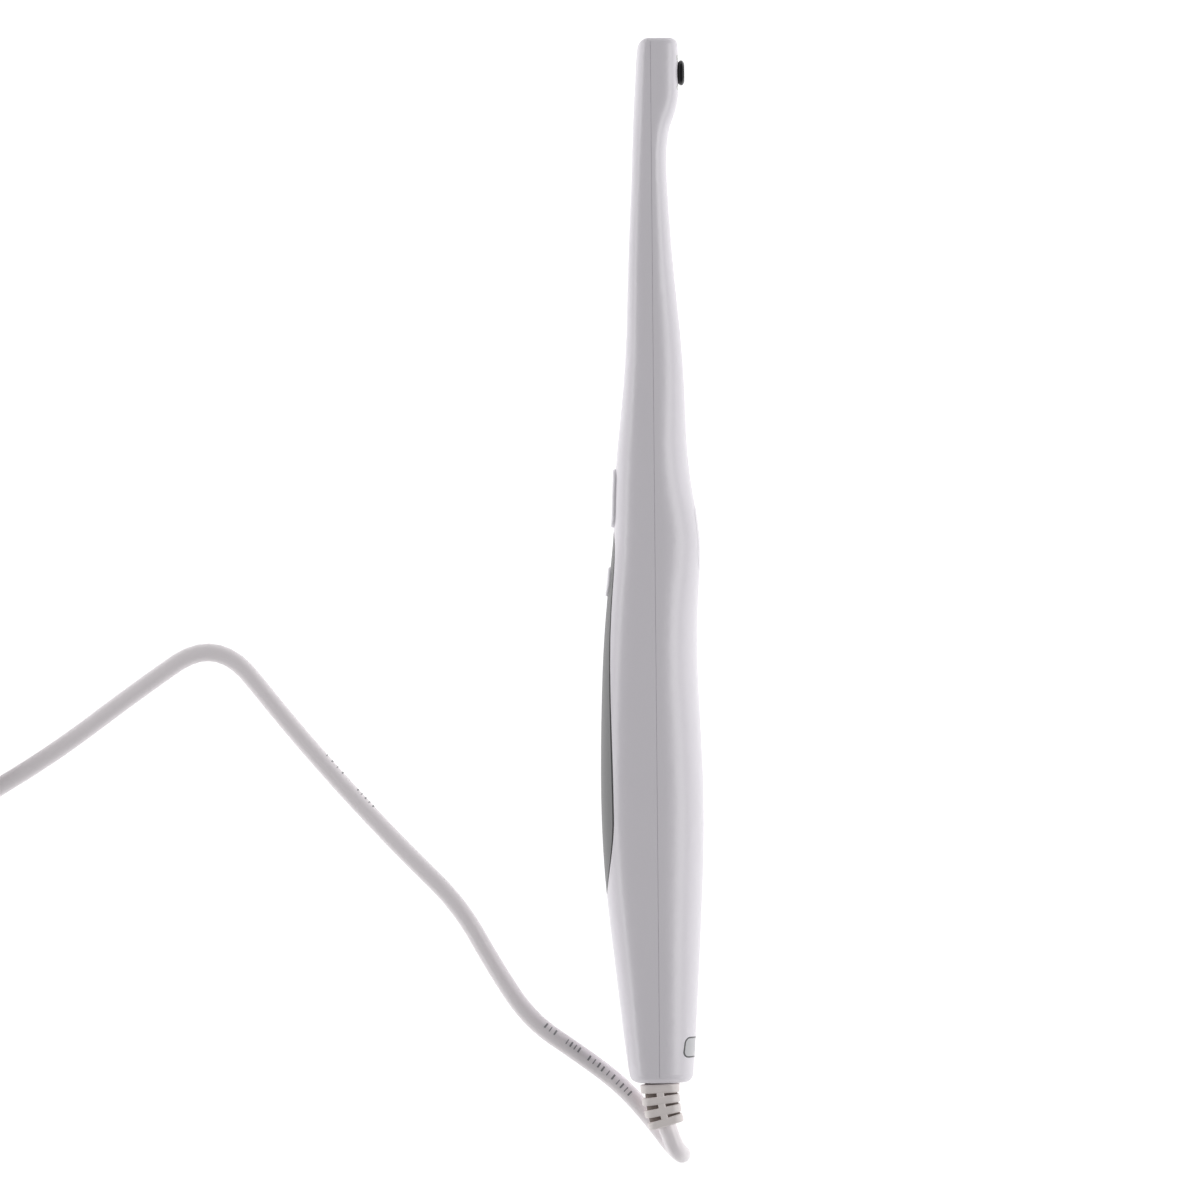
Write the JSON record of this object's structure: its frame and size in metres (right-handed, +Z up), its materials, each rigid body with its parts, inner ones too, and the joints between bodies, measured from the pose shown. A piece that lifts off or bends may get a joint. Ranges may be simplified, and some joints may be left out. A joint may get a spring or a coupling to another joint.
{
  "type": "intraoral camera",
  "caption": "Slim white corded intraoral camera wand with a side-facing lens, grey teardrop grip, capture buttons and a coiled USB cable.",
  "frame": {"origin": "on the surface the wand lies on, under the middle of the wand's box (cable, relief and plug left out)", "axes": "+Y along the wand to the camera tip, +X the lens side, -X the grip side, +Z up"},
  "size_m": [0.2093, 0.2208, 0.0191],
  "materials": {
    "shell_white": "satin moulded ABS",
    "grip_grey": "soft-touch coating",
    "gasket_black": "matt rubber",
    "button_white": "satin moulded ABS",
    "badge_grey": "printed foil",
    "bezel_black": "black anodised",
    "lens_glass": "coated optical glass",
    "led_guide": "clear moulded light guide",
    "led_yellow": "phosphor",
    "board_green": "solder mask",
    "chip_black": "moulded epoxy",
    "component_tan": "ceramic",
    "tin": "tinned steel",
    "gold": "gold plated",
    "flex_amber": "polyimide film",
    "socket_cream": "nylon",
    "relief_beige": "soft PVC",
    "cable_white": "PVC jacket",
    "wire_red": "PVC insulation",
    "wire_white": "PVC insulation",
    "wire_green": "PVC insulation",
    "wire_black": "PVC insulation",
    "strap_black": "hook and loop tape",
    "plug_white": "overmoulded PVC",
    "plug_steel": "nickel plated steel"
  },
  "bodies": {
    "wand": {"front_shell": "shell_white", "rear_shell": "shell_white", "grip_panel": "grip_grey", "grip_gasket": "gasket_black", "badge": "badge_grey", "rear_switch_body": "chip_black", "mode_switch_body": "chip_black", "front_switch_body": "chip_black", "lens_bezel": "bezel_black", "lens_window": "lens_glass", "lens_barrel": "bezel_black", "infrared_filter": "lens_glass", "rear_lens": "lens_glass", "front_lens": "lens_glass", "lens_holder": "chip_black", "image_sensor": "chip_black", "sensor_board": "board_green", "led_board": "board_green", "leds": "led_yellow", "led_windows": "led_guide", "led_link_pins": "gold", "sensor_flex": "flex_amber", "flex_socket": "socket_cream", "main_board": "board_green", "video_processor": "chip_black", "memory_chip": "chip_black", "voltage_regulator": "chip_black", "clock_crystal": "tin", "capacitors": "component_tan", "case_screws": "tin", "cable_socket": "socket_cream", "cable_socket_plug": "socket_cream", "red_wire": "wire_red", "white_wire": "wire_white", "green_wire": "wire_green", "black_wire": "wire_black", "strain_relief": "relief_beige", "cable_inner_end": "cable_white", "cable_clamp": "tin", "cable": "cable_white", "cable_coil": "cable_white", "coil_strap": "strap_black", "cable_end": "cable_white", "usb_plug_body": "plug_white", "usb_plug_shell": "plug_steel", "usb_plug_tongue": "socket_cream", "usb_plug_contacts": "gold"},
    "rear_capture": {"rear_capture_button": "button_white", "rear_switch_plunger": "socket_cream"},
    "mode": {"mode_button": "button_white", "mode_switch_plunger": "socket_cream"},
    "front_capture": {"front_capture_button": "button_white", "front_switch_plunger": "socket_cream"}
  },
  "joints": [
    {"name": "rear_capture_press", "type": "slide", "parent": "wand", "child": "rear_capture", "axis": [1, 0, 0], "range_m": [0, 0.00035], "stiffness_N_per_m": 600, "springref_m": -0.0005},
    {"name": "mode_press", "type": "slide", "parent": "wand", "child": "mode", "axis": [1, 0, 0], "range_m": [0, 0.00035], "stiffness_N_per_m": 600, "springref_m": -0.0005},
    {"name": "front_capture_press", "type": "slide", "parent": "wand", "child": "front_capture", "axis": [-1, 0, 0], "range_m": [0, 0.00035], "stiffness_N_per_m": 600, "springref_m": -0.0005}
  ]
}
